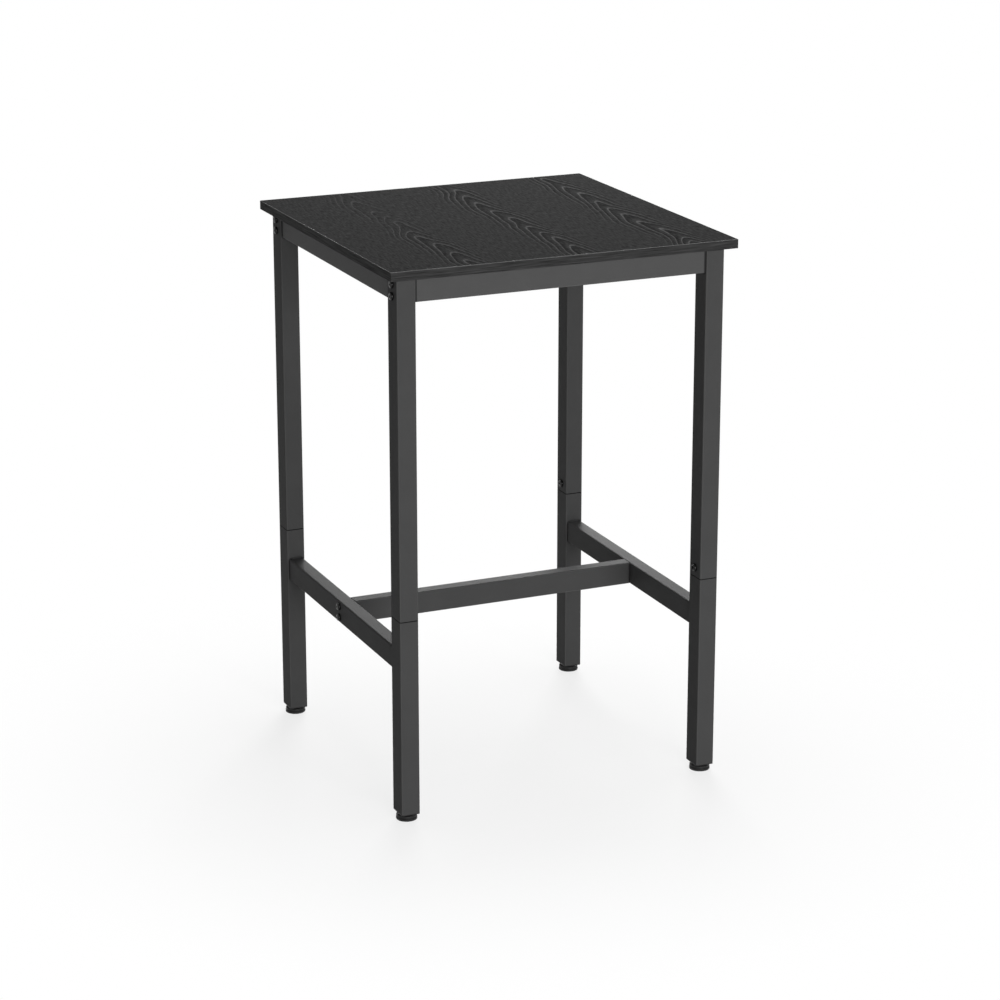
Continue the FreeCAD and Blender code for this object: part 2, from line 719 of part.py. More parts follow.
def make_foot_stud(corner, side, end):
    """The threaded stud, with a round head held inside the pad."""
    body = new_body(f"foot_stud_{corner}")
    profile = new_sketch(body, "Profile", "XZ")
    shank = "Sizes.stud_diameter / 2"
    head = "Sizes.stud_head_diameter / 2"
    head_top = "Sizes.pad_floor + Sizes.stud_head_height"
    outline = (
        ("0", "Sizes.pad_floor"),
        (head, "Sizes.pad_floor"),
        (head, head_top),
        (shank, head_top),
        (shank, "Layout.stud_top - Sizes.stud_end_bevel"),
        (f"{shank} - Sizes.stud_end_bevel", "Layout.stud_top"),
        ("0", "Layout.stud_top"),
    )
    draw_polygon(profile, outline)
    revolve(body, profile)
    place(body, f"{side} * Layout.leg_x", f"{end} * Layout.leg_y")


def make_foot_pad(corner, side, end):
    """The plastic pad: a stepped disc with a groove between its tiers, hollowed for the stud's head."""
    body = new_body(f"foot_pad_{corner}")
    profile = new_sketch(body, "Profile", "XZ")
    neck = "Layout.stud_hole / 2"
    hollow = "Sizes.stud_head_diameter / 2 + Sizes.stud_clearance"
    ceiling = "Sizes.pad_floor + Sizes.stud_head_height + Sizes.stud_clearance"
    lower = "Sizes.pad_diameter / 2"
    upper = "Sizes.pad_top_diameter / 2"
    groove = f"{upper} - Sizes.pad_groove_depth"
    groove_top = "Sizes.pad_groove_height + Sizes.pad_groove_width"
    outline = (
        ("0", "0"),
        (lower, "0"),
        (lower, "Sizes.pad_groove_height"),
        (groove, "Sizes.pad_groove_height"),
        (groove, groove_top),
        (upper, groove_top),
        (upper, "Sizes.pad_thickness"),
        (neck, "Sizes.pad_thickness"),
        (neck, ceiling),
        (hollow, ceiling),
        (hollow, "Sizes.pad_floor"),
        ("0", "Sizes.pad_floor"),
    )
    draw_polygon(profile, outline)
    turned = revolve(body, profile)
    bottom_rim = (value(lower), 0)
    top_rim = (value(upper), value("Sizes.pad_thickness"))

    def on_rim(edge):
        circle = edge.Curve
        if not isinstance(circle, Part.Circle):
            return False
        rims = (bottom_rim, top_rim)
        return any(near(circle.Radius, r) and near(circle.Center.z, z) for r, z in rims)

    round_edges(body, turned, "Sizes.pad_edge_radius", on_rim)
    place(body, f"{side} * Layout.leg_x", f"{end} * Layout.leg_y")


make_board()
make_bands()
for corner, (side, end) in CORNERS.items():
    make_upper_leg(corner, side, end)
    make_lower_leg(corner, side, end)
    make_sleeve(corner, side, end)
    make_top_plug(corner, side, end)
    make_foot_plug(corner, side, end)
    make_foot_nut(corner, side, end)
    make_foot_stud(corner, side, end)
    make_foot_pad(corner, side, end)
make_aprons()
make_lower_rails()
make_nut_plates()
make_bolts()
make_top_fixings()
doc.recompute()

# Every object has to be sound before any file is written. The patterns only lend their shape to copies.
for item in doc.Objects:
    if {"Invalid", "Error"} & set(item.State):
        raise RuntimeError(f"{item.Label} failed: {item.State}")
solids = [o for o in doc.Objects if o.TypeId in ("PartDesign::Body", "Part::Compound")]
subparts = [o for o in solids if not o.Label.endswith("_pattern")]
for item in subparts:
    if item.Shape.isNull() or not item.Shape.isValid():
        raise RuntimeError(f"{item.Label} has no sound shape")

os.makedirs("parts", exist_ok=True)
for item in subparts:
    item.Shape.exportStep(f"parts/{item.Label}.step")
print(f"{len(subparts)} sub-parts written")
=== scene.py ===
# %% [markdown]
# # A pub table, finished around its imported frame
# The table is a black wood-grain board on a black steel frame with four screw-in feet. Its solids come from
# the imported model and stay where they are. This lesson gives each of them a finish, adds the small forms
# that were left to Blender (the threads of the feet and the weld beads of the frame), and sets up the floor,
# the lamps and the camera.

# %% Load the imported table
import math

import bpy
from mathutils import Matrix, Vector


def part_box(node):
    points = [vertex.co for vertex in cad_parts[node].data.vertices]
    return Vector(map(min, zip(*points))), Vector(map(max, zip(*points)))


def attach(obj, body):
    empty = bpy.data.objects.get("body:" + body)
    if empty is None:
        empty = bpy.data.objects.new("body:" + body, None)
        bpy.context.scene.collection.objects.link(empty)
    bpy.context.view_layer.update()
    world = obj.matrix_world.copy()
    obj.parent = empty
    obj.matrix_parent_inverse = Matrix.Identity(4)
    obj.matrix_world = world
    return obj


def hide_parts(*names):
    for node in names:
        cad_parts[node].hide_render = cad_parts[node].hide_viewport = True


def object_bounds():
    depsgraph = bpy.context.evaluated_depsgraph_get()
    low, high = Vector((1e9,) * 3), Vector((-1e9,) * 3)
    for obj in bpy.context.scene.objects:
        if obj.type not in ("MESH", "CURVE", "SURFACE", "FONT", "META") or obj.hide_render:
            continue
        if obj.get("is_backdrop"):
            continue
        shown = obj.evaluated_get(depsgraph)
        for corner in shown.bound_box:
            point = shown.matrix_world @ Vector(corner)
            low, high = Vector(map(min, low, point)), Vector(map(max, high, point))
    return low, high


MM = 0.001

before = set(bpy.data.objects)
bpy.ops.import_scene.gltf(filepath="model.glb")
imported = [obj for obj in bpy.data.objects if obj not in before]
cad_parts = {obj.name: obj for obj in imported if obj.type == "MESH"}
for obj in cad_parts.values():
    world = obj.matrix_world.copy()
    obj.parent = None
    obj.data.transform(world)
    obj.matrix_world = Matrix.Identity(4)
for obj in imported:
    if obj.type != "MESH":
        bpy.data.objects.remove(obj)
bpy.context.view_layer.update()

# %% [markdown]
# ## Two small tools
# Colours are easiest to note down as hex values, which are sRGB, but shaders work in linear light, so one
# function turns the first into the second. Materials are trees of nodes. They could be joined by hand in the
# shader editor. A function that adds a node, sets it and links it keeps every tree readable as a short list.
# A Mix node has several sockets of the same name, so the ones used here are called by their places.

# %% Turn hex colours to linear, and add nodes
SHARE = 0
FROM_COLOUR, TO_COLOUR, MIXED_COLOUR = 6, 7, 2
FROM_NUMBER, TO_NUMBER, MIXED_NUMBER = 2, 3, 0


def linear(hex_colour):
    """The linear colour, with alpha, of a hex value such as #3c3c3c, by the sRGB formula."""
    shares = [int(hex_colour[i:i + 2], 16) / 255 for i in (1, 3, 5)]
    return [s / 12.92 if s <= 0.04045 else ((s + 0.055) / 1.055) ** 2.4 for s in shares] + [1.0]


def add_node(tree, kind, inputs=None, **settings):
    """Adds a node with its settings; each input is a value, or another node's output to link."""
    node = tree.nodes.new(kind)
    for name, value in settings.items():
        setattr(node, name, value)
    for socket, value in (inputs or {}).items():
        if isinstance(value, bpy.types.NodeSocket):
            tree.links.new(value, node.inputs[socket])
        else:
            node.inputs[socket].default_value = value
    return node


print("a mid grey in linear light:", round(linear("#808080")[0], 3))

# %% [markdown]
# ## Starting a finish
# Every pattern is laid out in the table's own millimetres. Unwrapping each piece onto a flat map would be
# another way, but its patterns would break at the seams. The CAD nodes sit at the origin with their place in
# their mesh, so object coordinates are the shared frame in metres, and a pattern's scale is simply one over
# the size of its grain. Noise seldom leaves the middle of its range, so only that middle is spread out.

# %% Start a finish
NOISE_LOW, NOISE_HIGH = 0.3, 0.7

finishes = {}


def start_finish(name):
    """A new material without nodes: returns its tree and the place on the surface in metres."""
    material = bpy.data.materials.new(name)
    material.use_nodes = True
    tree = material.node_tree
    tree.nodes.clear()
    finishes[name] = material
    return tree, add_node(tree, "ShaderNodeTexCoord").outputs["Object"]


def per_size(millimetres):
    """The texture scale that gives grains of this size."""
    return 1 / (millimetres * MM)


print("a 2 mm grain has the scale", per_size(2))

# %% [markdown]
# ## Corners of the tubes
# Powder coat flows off the corners of a tube while it bakes, and is thinner there. The corners are painted
# paler, partly for that thinner coat and partly as a painted highlight along their rounding. Pointiness would
# find the corners of a dense mesh, but these meshes are sparse. All the tubes lie along the axes, though, so
# a corner is simply where the normal leans away from every axis.

# %% Find the corners
CORNER_START, CORNER_FULL = 0.97, 0.8       # the normal's largest share along an axis


def find_corners(tree):
    """An output that goes from 0 on the flat faces of the tubes to 1 on their corners."""
    facing = add_node(tree, "ShaderNodeNewGeometry")
    leaning = add_node(tree, "ShaderNodeVectorMath", {0: facing.outputs["Normal"]}, operation="ABSOLUTE")
    shares = add_node(tree, "ShaderNodeSeparateXYZ", {"Vector": leaning.outputs["Vector"]})
    level = add_node(tree, "ShaderNodeMath", {0: shares.outputs["X"], 1: shares.outputs["Y"]},
                     operation="MAXIMUM")
    squareness = add_node(tree, "ShaderNodeMath", {0: level.outputs[0], 1: shares.outputs["Z"]},
                          operation="MAXIMUM")
    corner = add_node(tree, "ShaderNodeMapRange",
                      {"Value": squareness.outputs[0], "From Min": CORNER_START, "From Max": CORNER_FULL})
    return corner.outputs["Result"]


corner_lean = math.degrees(math.acos(CORNER_START))
print("a corner starts where the surface leans by", round(corner_lean), "degrees")

# %% [markdown]
# ## Painted shade in the crevices, and the joints of the tubes
# Shade falls where tubes meet, and it is painted into the coat there as a darker colour. The Ambient
# Occlusion node finds such places by how much of its surroundings a point can see. Two joints are too narrow
# for it, and wider gaps in the solids would be untrue, so these are drawn as dark lines: the gap between the
# two halves of a leg at its height, and a painted shadow of the leg where a bolted apron goes behind it at
# the apron's ends.

# %% Find the painted shade and the leg gap
CREVICE_MM = 5.0
CREVICE_RAYS = 6
CREVICE_START, CREVICE_FULL = 0.88, 0.55    # the share of its surroundings that a point can see
CREVICE_MOST = 0.95
LEG_GAP_HEIGHT_MM = 345
LEG_GAP_MM = 1.6        # the real gap is about 0.5 mm: drawn wider so that it shows
LEG_GAP_BLUR = 0.1      # as a share of the gap
END_LINE_MM = 2.8       # a hair-thin shadow on the real table: drawn wider so that it shows
END_LINE_BLUR_MM = 0.4

line_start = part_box("front_apron")[1].x - END_LINE_MM * MM


def find_painted_shade_and_gaps(tree, place, end_shadow_share):
    """An output that goes from 0 in the open to 1 in crevices, as painted shade, and to the given share at an
    apron's ends, as a painted shadow.
    """
    # painted shade where a point sees little of its surroundings
    seen_share = add_node(tree, "ShaderNodeAmbientOcclusion", {"Distance": CREVICE_MM * MM},
                          samples=CREVICE_RAYS)
    crevice_shade = add_node(tree, "ShaderNodeMapRange",
                       {"Value": seen_share.outputs["AO"], "From Min": CREVICE_START,
                        "From Max": CREVICE_FULL, "To Max": CREVICE_MOST})
    along = add_node(tree, "ShaderNodeSeparateXYZ", {"Vector": place})
    off_gap = add_node(tree, "ShaderNodeMath", {0: along.outputs["Z"], 1: LEG_GAP_HEIGHT_MM * MM},
                       operation="SUBTRACT")
    from_gap = add_node(tree, "ShaderNodeMath", {0: off_gap.outputs[0]}, operation="ABSOLUTE")
    gap = add_node(tree, "ShaderNodeMapRange",
                   {"Value": from_gap.outputs[0], "From Min": (0.5 + LEG_GAP_BLUR) * LEG_GAP_MM * MM,
                    "From Max": (0.5 - LEG_GAP_BLUR) * LEG_GAP_MM * MM})
    crevice_shade_or_gap = add_node(tree, "ShaderNodeMath", {0: crevice_shade.outputs["Result"], 1: gap.outputs["Result"]},
                     operation="MAXIMUM")
    aside = add_node(tree, "ShaderNodeMath", {0: along.outputs["X"]}, operation="ABSOLUTE")
    # a painted shadow of the leg, on the apron where it goes behind the leg
    apron_end_shadow = add_node(tree, "ShaderNodeMapRange",
                         {"Value": aside.outputs[0], "From Min": line_start - END_LINE_BLUR_MM * MM,
                          "From Max": line_start + END_LINE_BLUR_MM * MM, "To Max": end_shadow_share})
    painted_shade_and_gap = add_node(tree, "ShaderNodeMath", {0: crevice_shade_or_gap.outputs[0], 1: apron_end_shadow.outputs["Result"]},
                      operation="MAXIMUM")
    return painted_shade_and_gap.outputs[0]


print("dark lines at height", LEG_GAP_HEIGHT_MM, "mm and from", round(line_start / MM, 1), "mm to the side")

# %% [markdown]
# ## The frame: textured black powder coat
# The tubes are dusted with polyester powder and baked. That leaves a matt black skin with a fine, even tooth.
# A flat black would look like a hole in the picture, so the tooth is a bump, the roughness varies with it and
# the colour is a little cloudy. In a white room even a dull coat would mirror a grey veil, which the real
# tooth breaks up, so the reflections are set very low. One loop makes four coats: the front and back aprons
# are a shade paler than the legs, the side aprons paler still, and the weld beads, which are round all over,
# have no corners.

# %% Powder-coated steel
COAT_TONES = {        # two colours that cloud into each other, the corners' colour with a painted highlight, reflections, painted shadow at the ends
    "powder_coated_steel": ("#3f3f3f", "#454545", "#4e4e4e", 0.008, 0.0),
    # the aprons are set paler than the legs, the side aprons paler still
    "powder_coated_apron": ("#474747", "#4d4d4d", "#545454", 0.008, 0.7),
    "powder_coated_side_apron": ("#5b5b5b", "#616161", "#646464", 0.014, 0.0),
    "powder_coated_weld": ("#3d3d3d", "#434343", "#434343", 0.008, 0.0),
}
# the colour of the painted shade in crevices, of the leg gap, and of the painted shadow at the apron ends
SHADE_AND_GAP_COLOUR = "#121212"
CLOUD_MM = 55
TOOTH_MM = 1.1          # the real tooth is about 0.2 mm: drawn coarser so that it shows
TOOTH_DEPTH_MM = 0.06
COAT_ROUGHNESS = 0.44, 0.50
POLYESTER_IOR = 1.5

for coat_name, (plain_colour, cloud_colour, corner_coat_and_highlight_colour, reflection, end_shadow_share) in COAT_TONES.items():
    tree, place = start_finish(coat_name)
    tooth = add_node(tree, "ShaderNodeTexNoise",
                     {"Vector": place, "Scale": per_size(TOOTH_MM), "Detail": 2.0})
    cloud = add_node(tree, "ShaderNodeTexNoise",
                     {"Vector": place, "Scale": per_size(CLOUD_MM), "Detail": 3.0})
    patchy = add_node(tree, "ShaderNodeMix",
                      {SHARE: cloud.outputs["Fac"], FROM_COLOUR: linear(plain_colour),
                       TO_COLOUR: linear(cloud_colour)}, data_type="RGBA")
    # the corners are painted paler: partly a thinner coat, partly a painted highlight
    corner_highlighted = add_node(tree, "ShaderNodeMix",
                     {SHARE: find_corners(tree), FROM_COLOUR: patchy.outputs[MIXED_COLOUR],
                      TO_COLOUR: linear(corner_coat_and_highlight_colour)}, data_type="RGBA")
    # painted shade in crevices, the dark leg gap, and a painted shadow at the aprons' ends
    coat = add_node(tree, "ShaderNodeMix",
                    {SHARE: find_painted_shade_and_gaps(tree, place, end_shadow_share), FROM_COLOUR: corner_highlighted.outputs[MIXED_COLOUR],
                     TO_COLOUR: linear(SHADE_AND_GAP_COLOUR)}, data_type="RGBA")
    matt = add_node(tree, "ShaderNodeMapRange",
                    {"Value": tooth.outputs["Fac"], "From Min": NOISE_LOW, "From Max": NOISE_HIGH,
                     "To Min": COAT_ROUGHNESS[0], "To Max": COAT_ROUGHNESS[1]})
    relief = add_node(tree, "ShaderNodeBump", {"Strength": 0.25, "Distance": TOOTH_DEPTH_MM * MM,
                                               "Height": tooth.outputs["Fac"]})
    surface = add_node(tree, "ShaderNodeBsdfPrincipled",
                       {"Base Color": coat.outputs[MIXED_COLOUR], "Roughness": matt.outputs["Result"],
                        "IOR": POLYESTER_IOR, "Specular IOR Level": reflection,
                        "Normal": relief.outputs["Normal"]})
    add_node(tree, "ShaderNodeOutputMaterial", {"Surface": surface.outputs["BSDF"]})
    print(coat_name, "has", len(tree.nodes), "nodes")

# %% [markdown]
# ## The top: black melamine with an embossed ash grain
# The board is faced with printed melamine paper, pressed against a plate that embosses the grain. The eye
# sees a dull black with three columns of paler cathedral arches, their points to the back, and plain straight
# grain between them, as if three flat-sawn leaves had been joined. A picture of veneer could be laid on the
# board, but a formula stays sharp at any distance. It starts from the distance to the middle column.
# Wrapping that distance repeats the column on both sides, and a slow noise lets the columns sway.

# %% Lay out the columns of the grain
COLUMN_MIDDLE_MM = 33
COLUMN_SPACING_MM = 190
SWAY_MM = 20
SWAY_LENGTH_MM = 160

tree, place = start_finish("melamine_ash_grain")
along = add_node(tree, "ShaderNodeSeparateXYZ", {"Vector": place})
from_middle = add_node(tree, "ShaderNodeMath", {0: along.outputs["X"], 1: COLUMN_MIDDLE_MM * MM},
                       operation="SUBTRACT")
in_column = add_node(tree, "ShaderNodeMath",
                     {0: from_middle.outputs[0], 1: COLUMN_SPACING_MM / 2 * MM,
                      2: -COLUMN_SPACING_MM / 2 * MM}, operation="WRAP")
column_at = add_node(tree, "ShaderNodeMath", {0: from_middle.outputs[0], 1: in_column.outputs[0]},
                     operation="SUBTRACT")
column = add_node(tree, "ShaderNodeMath", {0: column_at.outputs[0], 1: per_size(COLUMN_SPACING_MM)},
                  operation="MULTIPLY")
drift = add_node(tree, "ShaderNodeTexNoise",
                 {"Vector": place, "Scale": per_size(SWAY_LENGTH_MM), "Detail": 1.0})
sway = add_node(tree, "ShaderNodeMapRange",
                {"Value": drift.outputs["Fac"], "To Min": -SWAY_MM * MM, "To Max": SWAY_MM * MM})
aside = add_node(tree, "ShaderNodeMath", {0: in_column.outputs[0], 1: sway.outputs["Result"]},
                 operation="ADD")
print("columns at x =", [COLUMN_MIDDLE_MM + step * COLUMN_SPACING_MM for step in (-1, 0, 1)], "mm")

# %% [markdown]
# ### The arches
# An arch is a line of equal height on a ridge: its place along the board plus a steep hyperbola of the
# distance from the column's middle. Waves from a Wave texture would stay alike. Bands of that height give
# the nested arches in the middle and fine parallel lines on the flanks, all from one formula. Neighbouring
# columns are out of step, and noise makes the bands as uneven as a tree's years. A colour ramp gives each
# band a pale line and a dark hollow behind it.

# %% Draw the arches
ARCH_SPACING_MM = 62
ARCH_STEEPNESS = 7.0
ARCH_POINT_MM = 14.0        # how blunt an arch's point is
FIRST_ARCH_MM = 250         # behind the middle of the board
COLUMN_STEP = 0.31          # how far the arches of the next column are out of step
RIPPLE_LENGTH_MM = 95
RIPPLE_BANDS = 1.9          # how far noise shifts the bands
BAND_TONES = (              # the place in a band, and its tone there
    (0.0, 0.26), (0.07, 1.0), (0.13, 0.7), (0.22, 0.0), (0.5, 0.05), (0.8, 0.2), (1.0, 0.26),
)

square = add_node(tree, "ShaderNodeMath",
                  {0: aside.outputs[0], 1: aside.outputs[0], 2: (ARCH_POINT_MM * MM) ** 2},
                  operation="MULTIPLY_ADD")
slant = add_node(tree, "ShaderNodeMath", {0: square.outputs[0]}, operation="SQRT")
height = add_node(tree, "ShaderNodeMath",
                  {0: slant.outputs[0], 1: ARCH_STEEPNESS, 2: along.outputs["Y"]}, operation="MULTIPLY_ADD")
first_height = (FIRST_ARCH_MM + ARCH_STEEPNESS * ARCH_POINT_MM) * MM
bands = add_node(tree, "ShaderNodeMapRange",
                 {"Value": height.outputs[0], "From Min": first_height,
                  "From Max": first_height - ARCH_SPACING_MM * MM}, clamp=False)
stepped = add_node(tree, "ShaderNodeMath",
                   {0: column.outputs[0], 1: COLUMN_STEP, 2: bands.outputs["Result"]},
                   operation="MULTIPLY_ADD")
ripple = add_node(tree, "ShaderNodeTexNoise",
                  {"Vector": place, "Scale": per_size(RIPPLE_LENGTH_MM), "Detail": 1.0})
uneven = add_node(tree, "ShaderNodeMath",
                  {0: ripple.outputs["Fac"], 1: RIPPLE_BANDS, 2: stepped.outputs[0]},
                  operation="MULTIPLY_ADD")
band = add_node(tree, "ShaderNodeMath", {0: uneven.outputs[0]}, operation="FRACT")
arch = add_node(tree, "ShaderNodeValToRGB", {"Fac": band.outputs[0]})
for position, _ in BAND_TONES[1:-1]:
    arch.color_ramp.elements.new(position)
for element, (position, tone) in zip(arch.color_ramp.elements, BAND_TONES):
    element.position = position
    element.color = (tone, tone, tone, 1.0)
print("an arch every", ARCH_SPACING_MM, "mm, fine lines every", round(ARCH_SPACING_MM / ARCH_STEEPNESS), "mm")

# %% [markdown]
# ### Where the arches show
# The arches fade into plain grain on both flanks, more slowly on the left one. They are a little stronger
# from column to column towards the right, and the left column is faint at the back. Close up their lines are
# rows of dashes, because the printed grain follows pores. The plain grain is one middle tone, and a Mix node
# lets the arches through where all of these allow it.

# %% Fade the arches into plain grain
LEFT_FLANK_MM = -56, -18    # where the arches start to show, and where they show in full
RIGHT_FLANK_MM = 40, 14
ARCH_STRENGTH = 1.0
STRENGTH_STEP = 0.10        # from one column to the next
FADE_MM = -150, 80          # along the left column
FADE_SHARE = 0.5
DASH_WIDTH_MM = 3.0
DASH_LENGTH_MM = 16
DASH_START, DASH_FULL, DASH_LEAST = 0.38, 0.56, 0.4
PLAIN_TONE = 0.21

left_flank = add_node(tree, "ShaderNodeMapRange",
                      {"Value": aside.outputs[0], "From Min": LEFT_FLANK_MM[0] * MM,
                       "From Max": LEFT_FLANK_MM[1] * MM}, interpolation_type="SMOOTHSTEP")
right_flank = add_node(tree, "ShaderNodeMapRange",
                       {"Value": aside.outputs[0], "From Min": RIGHT_FLANK_MM[0] * MM,
                        "From Max": RIGHT_FLANK_MM[1] * MM}, interpolation_type="SMOOTHSTEP")
near = add_node(tree, "ShaderNodeMath", {0: left_flank.outputs["Result"], 1: right_flank.outputs["Result"]},
                operation="MULTIPLY")
strength = add_node(tree, "ShaderNodeMath", {0: column.outputs[0], 1: STRENGTH_STEP, 2: ARCH_STRENGTH},
                    operation="MULTIPLY_ADD")
left_only = add_node(tree, "ShaderNodeMath", {0: column.outputs[0], 1: 0.0}, operation="MINIMUM")
at_back = add_node(tree, "ShaderNodeMapRange",
                   {"Value": along.outputs["Y"], "From Min": FADE_MM[0] * MM, "From Max": FADE_MM[1] * MM,
                    "To Max": FADE_SHARE}, interpolation_type="SMOOTHSTEP")
fading = add_node(tree, "ShaderNodeMath",
                  {0: left_only.outputs[0], 1: at_back.outputs["Result"], 2: strength.outputs[0]},
                  operation="MULTIPLY_ADD")
whole = add_node(tree, "ShaderNodeMath", {0: near.outputs[0], 1: fading.outputs[0]}, operation="MULTIPLY")
drawn = add_node(tree, "ShaderNodeMapping",
                 {"Vector": place, "Scale": (per_size(DASH_WIDTH_MM), per_size(DASH_LENGTH_MM), 1.0)})
breaks = add_node(tree, "ShaderNodeTexNoise",
                  {"Vector": drawn.outputs["Vector"], "Scale": 1.0, "Detail": 1.0})
dash = add_node(tree, "ShaderNodeMapRange",
                {"Value": breaks.outputs["Fac"], "From Min": DASH_START, "From Max": DASH_FULL,
                 "To Min": DASH_LEAST})
dashed = add_node(tree, "ShaderNodeMath", {0: whole.outputs[0], 1: dash.outputs["Result"]},
                  operation="MULTIPLY")
figured = add_node(tree, "ShaderNodeMix",
                   {SHARE: dashed.outputs[0], FROM_NUMBER: PLAIN_TONE, TO_NUMBER: arch.outputs["Color"]},
                   data_type="FLOAT")
print("arches show from", LEFT_FLANK_MM[0], "to", RIGHT_FLANK_MM[0], "mm beside a column's middle")

# %% [markdown]
# ### Pores and print
# Ash has long open pores along the grain, which are printed and embossed all over the board. Separate marks
# could be scattered, but noise that is drawn out lengthwise is denser and softer, as print is. The finished
# tone sets colour, roughness and relief together, so that the pale lines are also the raised, smoother ones.
# Melamine is dull here: the reflections are set very low, as on the frame.

# %% Melamine with an embossed ash grain
GRAIN_DARK = "#191919"
GRAIN_LIGHT = "#585858"
PORE_WIDTH_MM = 1.8         # real pores are about 0.3 mm wide: drawn coarser so that they show
PORE_LENGTH_MM = 18
PORE_TONE = 0.19
EMBOSS_DEPTH_MM = 0.12
MELAMINE_ROUGHNESS = 0.95, 0.85
MELAMINE_IOR = 1.5
MELAMINE_REFLECTION = 0.004

stretched = add_node(tree, "ShaderNodeMapping",
                     {"Vector": place, "Scale": (per_size(PORE_WIDTH_MM), per_size(PORE_LENGTH_MM), 1.0)})
pores = add_node(tree, "ShaderNodeTexNoise",
                 {"Vector": stretched.outputs["Vector"], "Scale": 1.0, "Detail": 3.0, "Roughness": 0.6})
pore_tone = add_node(tree, "ShaderNodeMapRange",
                     {"Value": pores.outputs["Fac"], "From Min": NOISE_LOW, "From Max": NOISE_HIGH,
                      "To Min": -PORE_TONE, "To Max": PORE_TONE})
tone = add_node(tree, "ShaderNodeMath",
                {0: figured.outputs[MIXED_NUMBER], 1: pore_tone.outputs["Result"]},
                operation="ADD", use_clamp=True)
printed = add_node(tree, "ShaderNodeMix",
                   {SHARE: tone.outputs[0], FROM_COLOUR: linear(GRAIN_DARK), TO_COLOUR: linear(GRAIN_LIGHT)},
                   data_type="RGBA")
matt = add_node(tree, "ShaderNodeMapRange",
                {"Value": tone.outputs[0], "To Min": MELAMINE_ROUGHNESS[0], "To Max": MELAMINE_ROUGHNESS[1]})
relief = add_node(tree, "ShaderNodeBump",
                  {"Strength": 0.4, "Distance": EMBOSS_DEPTH_MM * MM, "Height": tone.outputs[0]})
surface = add_node(tree, "ShaderNodeBsdfPrincipled",
                   {"Base Color": printed.outputs[MIXED_COLOUR], "Roughness": matt.outputs["Result"],
                    "IOR": MELAMINE_IOR, "Specular IOR Level": MELAMINE_REFLECTION,
                    "Normal": relief.outputs["Normal"]})
add_node(tree, "ShaderNodeOutputMaterial", {"Surface": surface.outputs["BSDF"]})
print("melamine:", len(tree.nodes), "nodes")

# %% [markdown]
# ## The board's edges: grained edge band
# The four narrow edges are closed with a thin glued tape of ABS in the same black, printed with straight
# grain along its length. Its upper rim is trimmed flush with the board, and a fine pale line painted along
# it is a painted highlight on that edge. A texture map for each edge would do, but noise that is drawn out
# along the table's sides and squeezed in height gives the streaks on all four bands at once, because each is
# only as thick as the tape.
# The tape is satin, smoother than the board, and its reflections are set low too.

# %% Edge band with straight grain
BAND_DARK = "#1b1b1b"
BAND_LIGHT = "#404040"
RIM_HIGHLIGHT_COLOUR = "#5c5c5c"
RIM_MM = 0.7                # a painted highlight, finer on the real edge: drawn wider so that it shows
RIM_BLUR_MM = 0.1
STREAK_LENGTH_MM = 60
STREAK_HEIGHT_MM = 1.8      # real streaks are about 0.4 mm high: drawn coarser so that they show
STREAK_DEPTH_MM = 0.05
BAND_ROUGHNESS = 0.58, 0.48
ABS_IOR = 1.5
BAND_REFLECTION = 0.012

tree, place = start_finish("edge_band_straight_grain")
drawn_out = add_node(tree, "ShaderNodeMapping",
                     {"Vector": place, "Scale": (per_size(STREAK_LENGTH_MM), per_size(STREAK_LENGTH_MM),
                                                 per_size(STREAK_HEIGHT_MM))})
streaks = add_node(tree, "ShaderNodeTexNoise",
                   {"Vector": drawn_out.outputs["Vector"], "Scale": 1.0, "Detail": 3.0, "Roughness": 0.55})
streak = add_node(tree, "ShaderNodeMapRange",
                  {"Value": streaks.outputs["Fac"], "From Min": NOISE_LOW, "From Max": NOISE_HIGH})
tape = add_node(tree, "ShaderNodeMix",
                {SHARE: streak.outputs["Result"], FROM_COLOUR: linear(BAND_DARK),
                 TO_COLOUR: linear(BAND_LIGHT)}, data_type="RGBA")
along = add_node(tree, "ShaderNodeSeparateXYZ", {"Vector": place})
rim_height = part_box("edge_band_front")[1].z - RIM_MM * MM
rim = add_node(tree, "ShaderNodeMapRange",
               {"Value": along.outputs["Z"], "From Min": rim_height - RIM_BLUR_MM * MM,
                "From Max": rim_height + RIM_BLUR_MM * MM})
# a pale line painted along the top rim: a painted highlight
rim_highlighted = add_node(tree, "ShaderNodeMix",
                   {SHARE: rim.outputs["Result"], FROM_COLOUR: tape.outputs[MIXED_COLOUR],
                    TO_COLOUR: linear(RIM_HIGHLIGHT_COLOUR)}, data_type="RGBA")
satin = add_node(tree, "ShaderNodeMapRange",
                 {"Value": streak.outputs["Result"], "To Min": BAND_ROUGHNESS[0],
                  "To Max": BAND_ROUGHNESS[1]})
relief = add_node(tree, "ShaderNodeBump", {"Strength": 0.3, "Distance": STREAK_DEPTH_MM * MM,
                                           "Height": streak.outputs["Result"]})
surface = add_node(tree, "ShaderNodeBsdfPrincipled",
                   {"Base Color": rim_highlighted.outputs[MIXED_COLOUR], "Roughness": satin.outputs["Result"],
                    "IOR": ABS_IOR, "Specular IOR Level": BAND_REFLECTION,
                    "Normal": relief.outputs["Normal"]})
add_node(tree, "ShaderNodeOutputMaterial", {"Surface": surface.outputs["BSDF"]})
print("edge band:", len(tree.nodes), "nodes, rim from", round(rim_height / MM, 1), "mm")

# %% [markdown]
# ## Feet, plugs and spacers: moulded polypropylene
# Polypropylene comes out of a spark-eroded mould with a fine, dull grain, and the pads' lower rims are
# rubbed paler by the floor. The wear could be painted on by hand. Here the grain is a bump, and the rubbing
# is a patchy noise that is let through only near the floor, so one finish serves the pads and leaves the
# plugs and spacers clean. Bare plastic has a soft sheen, so its reflections are stronger than the coat's.

